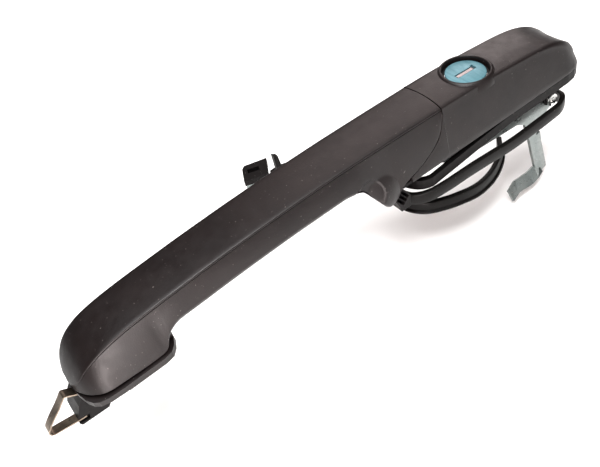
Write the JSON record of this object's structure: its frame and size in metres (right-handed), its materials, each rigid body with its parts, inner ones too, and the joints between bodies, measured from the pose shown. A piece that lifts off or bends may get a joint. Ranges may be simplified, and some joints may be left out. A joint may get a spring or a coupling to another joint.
{
  "type": "car door handle",
  "caption": "Exterior pull-type car door handle with a hinged grip, a key lock with dust shutter, a release lever and a lock rod arm.",
  "frame": {"origin": "middle of the front pad's flat seat, on the door-skin plane", "axes": "+X from the grip's nose to its lock end, +Y to the side where the lock arm reaches, +Z out of the door"},
  "size_m": [0.2745, 0.0686, 0.0803],
  "materials": {
    "grip_plastic": "satin fine-grained moulding, warm near-black",
    "black_plastic": "moulded, lightly grained",
    "rubber": "smooth soft rubber",
    "zinc": "zinc die-casting and zinc-plated pressing, slightly blue",
    "steel": "zinc-plated steel",
    "spring_steel": "bronze-grey spring steel",
    "lock_face": "brushed cap with a teal tint",
    "shutter_steel": "thin bright pressed flap",
    "brass": "stamped brass"
  },
  "bodies": {
    "handle_base": {"lock_housing": "grip_plastic", "lock_bezel": "black_plastic", "base_frame": "black_plastic", "bracket": "zinc", "bracket_screw_front": "steel", "bracket_screw_rear": "steel", "fixing_screw": "steel", "lock_barrel": "zinc", "barrel_o_ring": "rubber", "front_pad": "black_plastic", "front_hook": "black_plastic", "spring_clip": "spring_steel", "grip_pivot_pin": "steel", "lever_pin": "steel", "lever_pin_clip": "steel", "lever_spring": "spring_steel", "base_gasket": "rubber", "drain_strap": "rubber"},
    "grip": {"grip_body": "grip_plastic", "grip_cover": "grip_plastic", "grip_core": "zinc", "grip_screw_front": "steel", "grip_screw_rear": "steel", "grip_tongue": "black_plastic"},
    "lever": {"release_lever": "zinc", "lever_hub_washer": "black_plastic"},
    "plug": {"lock_plug": "zinc", "lock_face": "lock_face", "wafer_1": "brass", "wafer_2": "brass", "wafer_3": "brass", "plug_circlip": "steel", "plug_cam": "zinc", "plug_tail": "zinc", "shutter_pin": "steel"},
    "shutter": {"key_shutter": "shutter_steel"},
    "arm": {"lock_arm": "black_plastic", "rod_clip": "black_plastic", "arm_plate": "zinc", "arm_rivet": "steel"}
  },
  "joints": [
    {"name": "grip_pull", "type": "hinge", "parent": "handle_base", "child": "grip", "pos_m": [-0.018, 0, 0.0082], "axis": [0, -1, 0], "range_deg": [0, 6], "stiffness_Nm_per_rad": 6, "springref_deg": -3.44},
    {"name": "lever_swing", "type": "hinge", "parent": "handle_base", "child": "lever", "pos_m": [0.211, -0.0101, -0.008], "axis": [0, 1, 0], "range_deg": [0, 13.5]},
    {"name": "key_turn", "type": "hinge", "parent": "handle_base", "child": "plug", "pos_m": [0.1723, 0, 0.0239], "axis": [0.061, 0, 0.9981], "range_deg": [-70, 70], "stiffness_Nm_per_rad": 0.02},
    {"name": "shutter_flap", "type": "hinge", "parent": "plug", "child": "shutter", "pos_m": [0.17224, -0.0005, 0.02292], "axis": [-0.9981, 0, 0.061], "range_deg": [0, 75], "stiffness_Nm_per_rad": 0.0004},
    {"name": "arm_swing", "type": "hinge", "parent": "handle_base", "child": "arm", "pos_m": [0.1703, 0, -0.009], "axis": [0.061, 0, 0.9981], "range_deg": [-7.1, 7.1]}
  ],
  "couplings": [
    {"joint": "lever_swing", "follows": "grip_pull", "ratio": 2.2},
    {"joint": "arm_swing", "follows": "key_turn", "ratio": 0.1}
  ]
}
